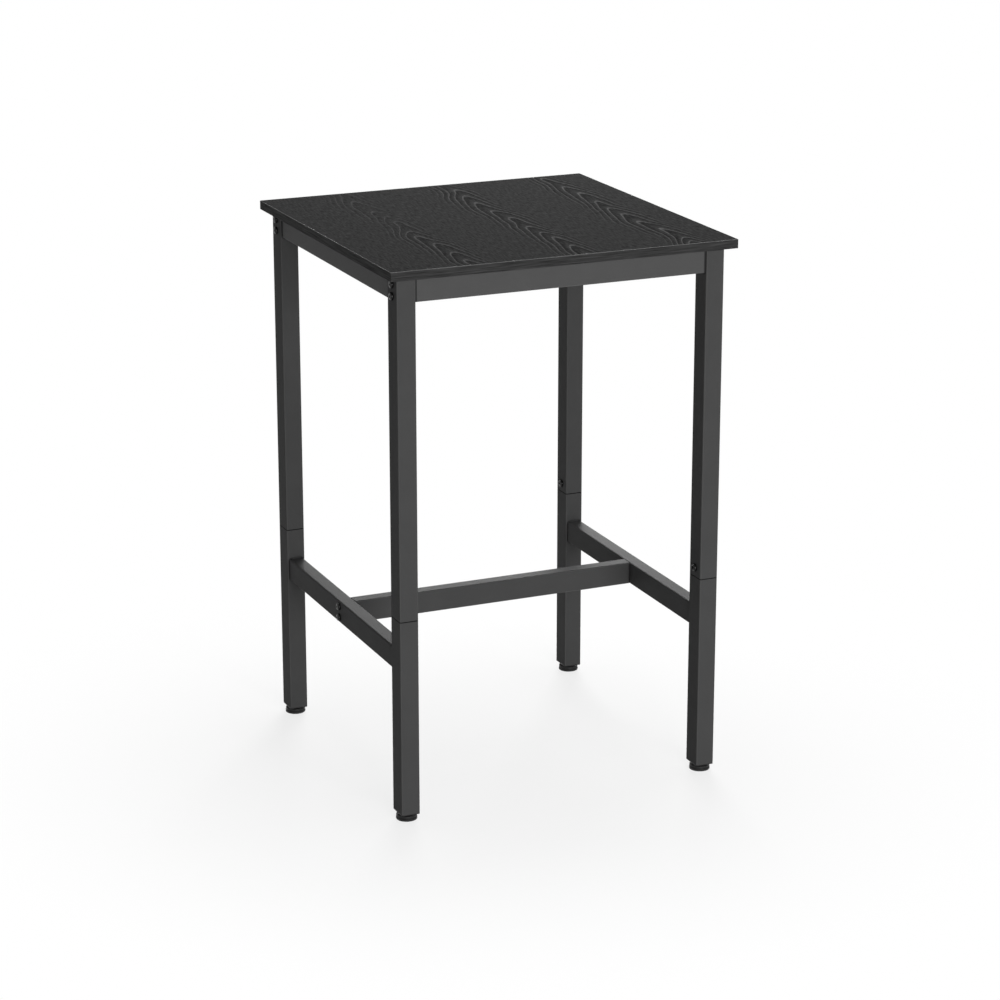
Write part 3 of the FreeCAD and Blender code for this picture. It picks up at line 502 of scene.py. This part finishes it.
# %% Moulded polypropylene
PLASTIC_COLOUR = "#1a1a1a"
PLASTIC_RUBBED = "#3c3c3c"
MOULD_GRAIN_MM = 0.9        # the real grain is about 0.1 mm: drawn coarser so that it shows
MOULD_GRAIN_DEPTH_MM = 0.04
RUB_PATCH_MM = 5
RUB_PATCH_LOW, RUB_PATCH_HIGH = 0.4, 0.7
RUB_START_MM, RUB_FULL_MM = 2.2, 0.4        # above the floor
PLASTIC_ROUGHNESS = 0.42, 0.54
POLYPROPYLENE_IOR = 1.49
PLASTIC_REFLECTION = 0.22

tree, place = start_finish("polypropylene_moulded")
grain = add_node(tree, "ShaderNodeTexNoise",
                 {"Vector": place, "Scale": per_size(MOULD_GRAIN_MM), "Detail": 2.0})
patches = add_node(tree, "ShaderNodeTexNoise",
                   {"Vector": place, "Scale": per_size(RUB_PATCH_MM), "Detail": 4.0})
patch = add_node(tree, "ShaderNodeMapRange",
                 {"Value": patches.outputs["Fac"], "From Min": RUB_PATCH_LOW, "From Max": RUB_PATCH_HIGH})
along = add_node(tree, "ShaderNodeSeparateXYZ", {"Vector": place})
low_down = add_node(tree, "ShaderNodeMapRange",
                    {"Value": along.outputs["Z"], "From Min": RUB_START_MM * MM,
                     "From Max": RUB_FULL_MM * MM})
rub = add_node(tree, "ShaderNodeMath", {0: patch.outputs["Result"], 1: low_down.outputs["Result"]},
               operation="MULTIPLY")
plastic = add_node(tree, "ShaderNodeMix",
                   {SHARE: rub.outputs[0], FROM_COLOUR: linear(PLASTIC_COLOUR),
                    TO_COLOUR: linear(PLASTIC_RUBBED)}, data_type="RGBA")
dull = add_node(tree, "ShaderNodeMapRange",
                {"Value": grain.outputs["Fac"], "From Min": NOISE_LOW, "From Max": NOISE_HIGH,
                 "To Min": PLASTIC_ROUGHNESS[0], "To Max": PLASTIC_ROUGHNESS[1]})
relief = add_node(tree, "ShaderNodeBump", {"Strength": 0.2, "Distance": MOULD_GRAIN_DEPTH_MM * MM,
                                           "Height": grain.outputs["Fac"]})
surface = add_node(tree, "ShaderNodeBsdfPrincipled",
                   {"Base Color": plastic.outputs[MIXED_COLOUR], "Roughness": dull.outputs["Result"],
                    "IOR": POLYPROPYLENE_IOR, "Specular IOR Level": PLASTIC_REFLECTION,
                    "Normal": relief.outputs["Normal"]})
add_node(tree, "ShaderNodeOutputMaterial", {"Surface": surface.outputs["BSDF"]})
print("polypropylene:", len(tree.nodes), "nodes")

# %% [markdown]
# ## Bolts and screws: black oxide steel
# Black oxide is a chemical blackening of the steel, sealed with a film of oil. A metallic shader would be the
# first thought, but the bare metal no longer shows: the eye sees a nearly black dome whose oil mirrors the
# room where it is seen at a slant. That is how a clear film behaves, so the colour is almost black, the
# shader stays a dielectric with a low roughness, and a slow noise stands for the uneven oil.

# %% Black oxide steel
OXIDE_DARK = "#080808"
OXIDE_LIGHT = "#101010"
OIL_PATCH_MM = 3.0
OIL_DEPTH_MM = 0.03
OIL_ROUGHNESS = 0.18, 0.26
OIL_IOR = 1.5
OIL_REFLECTION = 0.22

tree, place = start_finish("black_oxide_steel")
oil = add_node(tree, "ShaderNodeTexNoise", {"Vector": place, "Scale": per_size(OIL_PATCH_MM), "Detail": 3.0})
oxide = add_node(tree, "ShaderNodeMix",
                 {SHARE: oil.outputs["Fac"], FROM_COLOUR: linear(OXIDE_DARK), TO_COLOUR: linear(OXIDE_LIGHT)},
                 data_type="RGBA")
shine = add_node(tree, "ShaderNodeMapRange",
                 {"Value": oil.outputs["Fac"], "From Min": NOISE_LOW, "From Max": NOISE_HIGH,
                  "To Min": OIL_ROUGHNESS[0], "To Max": OIL_ROUGHNESS[1]})
relief = add_node(tree, "ShaderNodeBump",
                  {"Strength": 0.1, "Distance": OIL_DEPTH_MM * MM, "Height": oil.outputs["Fac"]})
surface = add_node(tree, "ShaderNodeBsdfPrincipled",
                   {"Base Color": oxide.outputs[MIXED_COLOUR], "Roughness": shine.outputs["Result"],
                    "IOR": OIL_IOR, "Specular IOR Level": OIL_REFLECTION,
                    "Normal": relief.outputs["Normal"]})
add_node(tree, "ShaderNodeOutputMaterial", {"Surface": surface.outputs["BSDF"]})
print("black oxide:", len(tree.nodes), "nodes")

# %% [markdown]
# ## The hidden metal: bright zinc plate
# Sleeves, nuts, nut plates, studs and the screws under the top are zinc plated: a pale, slightly blue metal
# with faint cloudy crystals. Noise would give clouds without edges. A pattern of cells has them, as crystals
# do, and each cell is a little lighter or darker and a little rougher or smoother than the next.

# %% Zinc-plated steel
ZINC_DARK = "#8d9094"
ZINC_LIGHT = "#b4b6b9"
CRYSTAL_MM = 1.5
CRYSTAL_DEPTH_MM = 0.02
ZINC_ROUGHNESS = 0.30, 0.44

tree, place = start_finish("zinc_plated_steel")
crystals = add_node(tree, "ShaderNodeTexVoronoi", {"Vector": place, "Scale": per_size(CRYSTAL_MM)})
crystal = add_node(tree, "ShaderNodeSeparateColor", {"Color": crystals.outputs["Color"]})
zinc = add_node(tree, "ShaderNodeMix",
                {SHARE: crystal.outputs["Red"], FROM_COLOUR: linear(ZINC_DARK),
                 TO_COLOUR: linear(ZINC_LIGHT)}, data_type="RGBA")
shine = add_node(tree, "ShaderNodeMapRange",
                 {"Value": crystal.outputs["Green"], "To Min": ZINC_ROUGHNESS[0],
                  "To Max": ZINC_ROUGHNESS[1]})
relief = add_node(tree, "ShaderNodeBump", {"Strength": 0.1, "Distance": CRYSTAL_DEPTH_MM * MM,
                                           "Height": crystals.outputs["Distance"]})
surface = add_node(tree, "ShaderNodeBsdfPrincipled",
                   {"Base Color": zinc.outputs[MIXED_COLOUR], "Roughness": shine.outputs["Result"],
                    "Metallic": 1.0, "Normal": relief.outputs["Normal"]})
add_node(tree, "ShaderNodeOutputMaterial", {"Surface": surface.outputs["BSDF"]})
print("zinc plate:", len(tree.nodes), "nodes")

# %% [markdown]
# ## Dressing the CAD nodes
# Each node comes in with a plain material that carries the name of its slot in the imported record. The nodes
# could be dressed one by one by name. Swapping that material for the finish of the same slot dresses them
# all, and nothing is moved or reshaped.

# %% Dress the CAD nodes
FINISH_OF_SLOT = {
    "powder_coated_steel": "powder_coated_steel",
    "melamine_board": "melamine_ash_grain",
    "edge_band": "edge_band_straight_grain",
    "moulded_plastic": "polypropylene_moulded",
    "blackened_steel": "black_oxide_steel",
    "zinc_plated_steel": "zinc_plated_steel",
}

dressed = {}
for node_name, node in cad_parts.items():
    slot = node.data.materials[0].name.split(".")[0]
    finish = FINISH_OF_SLOT[slot]
    if finish == "powder_coated_steel" and "apron" in node_name:
        finish = "powder_coated_side_apron" if "side" in node_name else "powder_coated_apron"
    node.data.materials[0] = finishes[finish]
    dressed.setdefault(finish, []).append(node_name)
for finish, names in dressed.items():
    print(finish, "on", len(names), "nodes")

# %% [markdown]
# ## Making a piece from rings
# The pieces that Blender adds are bars whose section changes along their length: a thread, a weld bead. Each
# could be a curve with a bevel, but a bevel keeps its section. Rings of points, joined by one skin, may
# differ from ring to ring. Two functions make the skin and the object, and both kinds of piece use them.

# %% Skin rings of points, and make a piece
def skin_rings(count, ring):
    """Faces that join count rings of ring points each into one closed skin."""
    faces = []
    for r in range(count - 1):
        for i in range(ring):
            j = (i + 1) % ring
            faces.append((r * ring + i, r * ring + j, (r + 1) * ring + j, (r + 1) * ring + i))
    faces.append(tuple(reversed(range(ring))))
    faces.append(tuple(range((count - 1) * ring, count * ring)))
    return faces


def make_piece(name, points, faces, finish):
    """A mesh object of these points and faces in a finish, linked into the scene."""
    mesh = bpy.data.meshes.new(name)
    mesh.from_pydata(points, [], faces)
    mesh.materials.append(finishes[finish])
    piece = bpy.data.objects.new(name, mesh)
    bpy.context.scene.collection.objects.link(piece)
    return piece


print("a bar of two square rings has", len(skin_rings(2, 4)), "faces")

# %% [markdown]
# ## The feet's threads
# Each foot stands on a threaded stud, of which a few millimetres show between pad and leg, and more when the
# foot is screwed out. The CAD stud is a plain cylinder. A bump would leave its outline smooth, and a Screw
# modifier would give no head and no chamfer. Here it is replaced by rings of points whose radius follows a
# helix, so that the thread is real geometry with the pitch that the joints use.

# %% Cut the threads
THREAD_PITCH_MM = 1.25
THREAD_RADIUS_MM = 4.0
THREAD_DEPTH_MM = 0.77
STUD_HEAD_MM = 4.5
STUD_CHAMFER_MM = 0.8
RINGS_PER_TURN = 6
POINTS_PER_RING = 32
CREST_SHARE, ROOT_SHARE = 0.15, 0.75        # where the flat crest ends and the flat root starts


def thread_radius(angle, height):
    """The thread's radius in mm at an angle and a height in mm."""
    phase = (height / THREAD_PITCH_MM - angle / math.tau) % 1.0
    from_crest = abs(2 * phase - 1)
    drop = (from_crest - CREST_SHARE) / (ROOT_SHARE - CREST_SHARE)
    return THREAD_RADIUS_MM - THREAD_DEPTH_MM * min(1.0, max(0.0, drop))


def cut_stud(name, cad_stud):
    """A threaded stud with its moulded-in head, in the place of a CAD stud."""
    low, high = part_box(cad_stud)
    middle = (low + high) / 2
    head_radius = (high.x - low.x) / 2 / MM
    length = (high.z - low.z) / MM
    angles = [math.tau * i / POINTS_PER_RING for i in range(POINTS_PER_RING)]
    rings = [[(head_radius, z)] * POINTS_PER_RING for z in (0.0, STUD_HEAD_MM)]
    steps = round((length - STUD_HEAD_MM) / THREAD_PITCH_MM * RINGS_PER_TURN)
    for step in range(steps + 1):
        z = STUD_HEAD_MM + (length - STUD_HEAD_MM) * step / steps
        end_limit = THREAD_RADIUS_MM - max(0.0, z - (length - STUD_CHAMFER_MM))
        rings.append([(min(end_limit, thread_radius(angle, z)), z) for angle in angles])
    points = [(middle.x + radius * MM * math.cos(angle), middle.y + radius * MM * math.sin(angle),
               low.z + z * MM) for ring in rings for angle, (radius, z) in zip(angles, ring)]
    stud = make_piece(name, points, skin_rings(len(rings), POINTS_PER_RING), "zinc_plated_steel")
    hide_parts(cad_stud)
    return stud


for corner_name in ("front_left", "front_right", "back_left", "back_right"):
    stud = cut_stud("threaded_stud_" + corner_name, "foot_stud_" + corner_name)
    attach(stud, "stud_" + corner_name)
    print(stud.name, len(stud.data.vertices), "points")

# %% [markdown]
# ## A weld bead
# The side aprons and side rails are welded between the legs before coating. A short bead of molten steel sets
# in ripples along the corner of two faces. A bump could draw the ripples but not the bead. Here it is a
# rounded fillet swept along the corner: thin at its ends, its size pulsing with each ripple, hollow in the
# middle of its section, and sunk a little into both faces so that no gap shows.

# %% Lay a weld bead
BEAD_LEG_MM = 2.0
BEAD_WAIST = 0.62           # how far out the bead comes at its middle, as a share of its leg
BEAD_SUNK_MM = 0.4
SUNK_POWER = 8              # how close to its two faces the bead starts to sink in
END_SIZE = 0.45             # the bead's size at its ends, as a share of the full size
END_GROWTH = 3.0            # how fast it grows from there
BEAD_RIPPLE_MM = 1.3
BEAD_RIPPLE_DEPTH = 0.14
SECTIONS_PER_RIPPLE = 5
LEAST_SECTIONS = 8
ARC_POINTS = 6


def lay_bead(start, end, up, out):
    """Points and faces of one bead from start to end, in the corner of two faces with normals up and out."""
    run = end - start
    count = max(LEAST_SECTIONS, round(run.length / MM / BEAD_RIPPLE_MM * SECTIONS_PER_RIPPLE))
    points = []
    for section in range(count + 1):
        share = section / count
        ripple = 1 + BEAD_RIPPLE_DEPTH * abs(math.sin(math.pi * share * count / SECTIONS_PER_RIPPLE))
        taper = min(1.0, END_SIZE + END_GROWTH * min(share, 1 - share))
        leg = BEAD_LEG_MM * MM * ripple * taper
        foot = start + run * share
        points.append(foot - (up + out) * BEAD_SUNK_MM * MM)
        for a in range(ARC_POINTS + 1):
            angle = math.pi / 2 * a / ARC_POINTS
            rise, reach = math.sin(angle), math.cos(angle)
            swell = BEAD_WAIST + (1 - BEAD_WAIST) * abs(math.cos(2 * angle))
            sunk = (up * reach ** SUNK_POWER + out * rise ** SUNK_POWER) * BEAD_SUNK_MM * MM
            points.append(foot + (up * rise + out * reach) * leg * swell - sunk)
    return points, skin_rings(count + 1, ARC_POINTS + 2)


print("a bead has", round(SECTIONS_PER_RIPPLE / BEAD_RIPPLE_MM, 1), "sections on each mm")

# %% [markdown]
# ## Welding the frame
# Each rail has a bead along the top and the bottom of both ends, and each side apron along the bottom and the
# inner side, where the welder leaves them out of sight. The beads could sit in the CAD part, but they are too
# small for its outline. One loop takes the corners from the tubes' boxes, so that every bead lies where tube
# and leg meet. All beads of a tube are one piece, coated like the rest.

# %% Weld the side rails and side aprons
X, Y, Z = Vector((1, 0, 0)), Vector((0, 1, 0)), Vector((0, 0, 1))
EDGE_INSET = 3.5 * MM       # a bead ends on the flat of the tube, short of its round corners
WELDED_EDGES = {"side_rail": ("top", "bottom"), "side_apron": ("bottom", "inner")}

for tube_name, edges in WELDED_EDGES.items():
    for side_name, side in (("left", -1), ("right", 1)):
        low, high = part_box(tube_name + "_" + side_name)
        near_x, far_x = low.x + EDGE_INSET, high.x - EDGE_INSET
        inner_x = high.x if side < 0 else low.x
        points, faces = [], []
        for end_y, out in ((low.y, Y), (high.y, -Y)):
            corners = {
                "top": (Vector((near_x, end_y, high.z)), Vector((far_x, end_y, high.z)), Z),
                "bottom": (Vector((near_x, end_y, low.z)), Vector((far_x, end_y, low.z)), -Z),
                "inner": (Vector((inner_x, end_y, low.z + EDGE_INSET)),
                          Vector((inner_x, end_y, high.z - EDGE_INSET)), -side * X),
            }
            for edge in edges:
                start, end, up = corners[edge]
                bead_points, bead_faces = lay_bead(start, end, up, out)
                faces += [tuple(len(points) + i for i in face) for face in bead_faces]
                points += bead_points
        welds = make_piece(tube_name + "_welds_" + side_name, points, faces, "powder_coated_weld")
        welds.data.shade_smooth()
        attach(welds, "frame")
        print(welds.name, len(points), "points in", 2 * len(edges), "beads")

# %% [markdown]
# ## Rays that look at the surroundings
# Floor and world look plain white to the camera, but light the table only softly. The Light Path node tells
# the rays apart: those from the camera, and those that mirror the surroundings or pass through something,
# see the white. A brighter world would be simpler, and would wash out the table.

# %% Tell the rays apart
MIRRORING_RAYS = ("Is Glossy Ray", "Is Transmission Ray")


def find_looking_rays(tree):
    """The Light Path node, and an output that is 1 for the rays that look at the surroundings."""
    ray = add_node(tree, "ShaderNodeLightPath")
    looking = ray.outputs["Is Camera Ray"]
    for kind in MIRRORING_RAYS:
        either = add_node(tree, "ShaderNodeMath", {0: looking, 1: ray.outputs[kind]}, operation="MAXIMUM")
        looking = either.outputs[0]
    return ray, looking


print("the camera's rays see the white world, and so do", len(MIRRORING_RAYS), "other kinds")

# %% [markdown]
# ## Floor
# The table stands on a pale studio floor that runs into a white background. A wide curved backdrop would do
# it, but it would stand in the way of views from behind. Here the floor is matt paper that takes the soft
# shadow, and for looking rays it lets the white world through: three quarters of it under the table, and all
# of it farther out, so that no horizon shows. That keeps the shadow light, and feet that are screwed out
# below the floor still show. From below it is clear, so that the underside can be seen.

# %% Matt paper for the floor
PAPER_DARK = "#f2f2f2"
PAPER_LIGHT = "#f4f4f4"
PAPER_GRAIN_MM = 4
FADE_START, FADE_END = 0.3, 1.05            # from the middle, in m
CLEAR_NEAR = 0.76           # how far the floor under the table lets the white world through

tree, place = start_finish("matt_paper_floor")
fibres = add_node(tree, "ShaderNodeTexNoise",
                  {"Vector": place, "Scale": per_size(PAPER_GRAIN_MM), "Detail": 3.0})
paper_colour = add_node(tree, "ShaderNodeMix",
                        {SHARE: fibres.outputs["Fac"], FROM_COLOUR: linear(PAPER_DARK),
                         TO_COLOUR: linear(PAPER_LIGHT)}, data_type="RGBA")
paper = add_node(tree, "ShaderNodeBsdfDiffuse", {"Color": paper_colour.outputs[MIXED_COLOUR]})
clear = add_node(tree, "ShaderNodeBsdfTransparent")
reach = add_node(tree, "ShaderNodeVectorMath", {0: place}, operation="LENGTH")
fade = add_node(tree, "ShaderNodeMapRange",
                {"Value": reach.outputs["Value"], "From Min": FADE_START, "From Max": FADE_END,
                 "To Min": CLEAR_NEAR}, interpolation_type="SMOOTHSTEP")
ray, looking = find_looking_rays(tree)
from_above = add_node(tree, "ShaderNodeMath", {0: fade.outputs["Result"], 1: looking}, operation="MULTIPLY")
facing = add_node(tree, "ShaderNodeNewGeometry")
from_below = add_node(tree, "ShaderNodeMath",
                      {0: facing.outputs["Backfacing"], 1: ray.outputs["Is Camera Ray"]},
                      operation="MULTIPLY")
clearness = add_node(tree, "ShaderNodeMath", {0: from_above.outputs[0], 1: from_below.outputs[0]},
                     operation="MAXIMUM")
floor_shader = add_node(tree, "ShaderNodeMixShader",
                        {0: clearness.outputs[0], 1: paper.outputs["BSDF"], 2: clear.outputs["BSDF"]})
add_node(tree, "ShaderNodeOutputMaterial", {"Surface": floor_shader.outputs[0]})
print("paper floor:", len(tree.nodes), "nodes")

# %% [markdown]
# ### The floor's disc
# A single large face would serve. Rings of faces that are smaller near the table keep the floor's mesh even
# under it, and a round rim has no corners that could show.

# %% Floor
FLOOR_RINGS = (1.0, 2.5, 5.0, 8.0)          # their radii in m
FLOOR_SEGMENTS = 64

floor_points = [(0.0, 0.0, 0.0)]
for radius in FLOOR_RINGS:
    for i in range(FLOOR_SEGMENTS):
        angle = math.tau * i / FLOOR_SEGMENTS
        floor_points.append((radius * math.cos(angle), radius * math.sin(angle), 0.0))
floor_faces = []
for i in range(FLOOR_SEGMENTS):
    j = (i + 1) % FLOOR_SEGMENTS
    floor_faces.append((0, 1 + i, 1 + j))
    for ring in range(len(FLOOR_RINGS) - 1):
        inner, outer = 1 + ring * FLOOR_SEGMENTS, 1 + (ring + 1) * FLOOR_SEGMENTS
        floor_faces.append((inner + i, outer + i, outer + j, inner + j))
floor = make_piece("studio_floor", floor_points, floor_faces, "matt_paper_floor")
floor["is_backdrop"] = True
print("floor:", len(floor_faces), "faces, out to", FLOOR_RINGS[-1], "m")

# %% [markdown]
# ## World
# The room is white all round. A picture of a studio could light the table, but its lamps would show in the
# bolts. Here looking rays see plain white, and for all others the world is a weak, even fill that keeps the
# shaded faces from going black.

# %% World
FILL_STRENGTH = 0.08

scene = bpy.context.scene
scene.view_settings.view_transform = "Standard"
world = bpy.data.worlds.new("white_studio")
world.use_nodes = True
scene.world = world
tree = world.node_tree
tree.nodes.clear()
ray, looking = find_looking_rays(tree)
level = add_node(tree, "ShaderNodeMapRange", {"Value": looking, "To Min": FILL_STRENGTH})
background = add_node(tree, "ShaderNodeBackground",
                      {"Color": linear("#ffffff"), "Strength": level.outputs["Result"]})
add_node(tree, "ShaderNodeOutputWorld", {"Surface": background.outputs["Background"]})
print("fill strength:", FILL_STRENGTH)

# %% [markdown]
# ## Lamps
# The table is lit as in a catalogue. A sun would give hard shadows, so the lamps are large squares. The
# largest is far off, straight in front and low enough to reach the back legs under the board: it makes the
# front faces paler than the left ones, so that each leg shows its corner. A second lamp hangs overhead, and
# one low at the back glances off the level faces, which makes the tops of the rails the palest strips.

# %% Lamps
LAMPS = (                     # name, place in m, side in m, watts
    ("key_lamp_front", (0.0, -7.6, 1.5), 3.6, 560.0),
    ("overhead_lamp", (0.35, 0.3, 3.2), 2.2, 56.0),
    ("back_lamp", (1.35, 2.8, 1.3), 1.4, 98.0),
)
LAMP_AIM = Vector((0.0, 0.0, 0.55))

for name, spot, side, watts in LAMPS:
    lamp_data = bpy.data.lights.new(name, "AREA")
    lamp_data.shape = "SQUARE"
    lamp_data.size = side
    lamp_data.energy = watts
    lamp = bpy.data.objects.new(name, lamp_data)
    lamp.location = spot
    lamp.rotation_euler = (LAMP_AIM - Vector(spot)).to_track_quat("-Z", "Y").to_euler()
    lamp.visible_camera = False
    scene.collection.objects.link(lamp)
    print(name, "at", spot, watts, "W")

# %% [markdown]
# ## Camera
# The picture looks at the table's front left leg from a little above, with a long lens that keeps the legs
# nearly parallel. A camera can be placed by eye. Here place, turn and lens were worked out from the measured
# corners of the top, the leg ends and the joints in the picture, on the sizes of the CAD part, which is
# surer. A camera without rotation looks straight down, so it is first raised to the level.

# %% Camera
SENSOR_MM = 36.0
LENS_MM = 109.37
CAMERA_PLACE = (-1.970, -4.520, 1.959)      # in m
LEVEL = 90                                  # this and the next two in degrees
CAMERA_DOWN = 17.18
CAMERA_TURN = -23.70

camera_data = bpy.data.cameras.new("photo_camera")
camera_data.sensor_width = SENSOR_MM
camera_data.lens = LENS_MM
camera = bpy.data.objects.new("photo_camera", camera_data)
camera.location = CAMERA_PLACE
camera.rotation_euler = (math.radians(LEVEL - CAMERA_DOWN), 0.0, math.radians(CAMERA_TURN))
scene.collection.objects.link(camera)
scene.camera = camera
print("camera lens:", LENS_MM, "mm")

# %% [markdown]
# ## Size
# The finished table has to fill the same box as the CAD part, so its box is measured and printed at the end.

# %% Measure the finished size
low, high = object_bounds()
print("finished size in mm:", [round((b - a) / MM, 1) for a, b in zip(low, high)])
